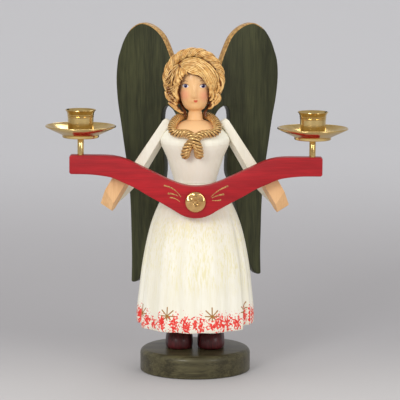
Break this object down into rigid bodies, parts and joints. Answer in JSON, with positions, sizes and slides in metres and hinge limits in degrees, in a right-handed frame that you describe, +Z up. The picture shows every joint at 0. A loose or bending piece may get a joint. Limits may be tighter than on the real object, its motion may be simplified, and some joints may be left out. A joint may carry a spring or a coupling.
{
  "type": "angel candle holder",
  "caption": "Turned and carved wooden angel on a round base, holding a curved bow with a brass candle cup and drip dish at each end.",
  "frame": {"origin": "centre of the base's round underside", "axes": "+Z up, the angel faces -Y, +X to the viewer's right"},
  "size_m": [0.2757, 0.1404, 0.3208],
  "materials": {
    "dark_stain": "dark olive stain, satin",
    "shoe_red": "dark red stain, satin",
    "white_paint": "cream white paint, satin",
    "skin_paint": "skin-coloured paint, satin",
    "hair_brown": "golden brown paint, satin",
    "bronze": "bronze-gold paint",
    "bow_red": "red stain under clear lacquer",
    "brass": "polished",
    "wing_green": "dark green stain, gold-painted edge",
    "beech": "bare"
  },
  "bodies": {
    "root": {"base": "dark_stain", "shoe_left": "shoe_red", "shoe_right": "shoe_red", "leg_dowel_left": "beech", "leg_dowel_right": "beech", "skirt": "white_paint", "waist_dowel": "beech", "bodice": "white_paint", "head": "skin_paint", "hair": "hair_brown", "braid_crown": "hair_brown", "hair_lock_left": "hair_brown", "hair_lock_right": "hair_brown", "rope_collar": "bronze", "arm_left": "white_paint", "arm_right": "white_paint", "arm_dowel_left": "beech", "arm_dowel_right": "beech", "hand_left": "skin_paint", "hand_right": "skin_paint", "hand_dowel_left": "beech", "hand_dowel_right": "beech", "bow": "bow_red", "bow_dowel": "beech", "rosette": "brass", "candle_rod_left": "brass", "candle_rod_right": "brass", "drip_dish_left": "brass", "drip_dish_right": "brass", "candle_cup_left": "brass", "candle_cup_right": "brass", "cup_nut_left": "brass", "cup_nut_right": "brass", "wing_left": "wing_green", "wing_right": "wing_green", "wing_dowel_upper_left": "beech", "wing_dowel_upper_right": "beech", "wing_dowel_lower_left": "beech", "wing_dowel_lower_right": "beech"}
  },
  "joints": []
}
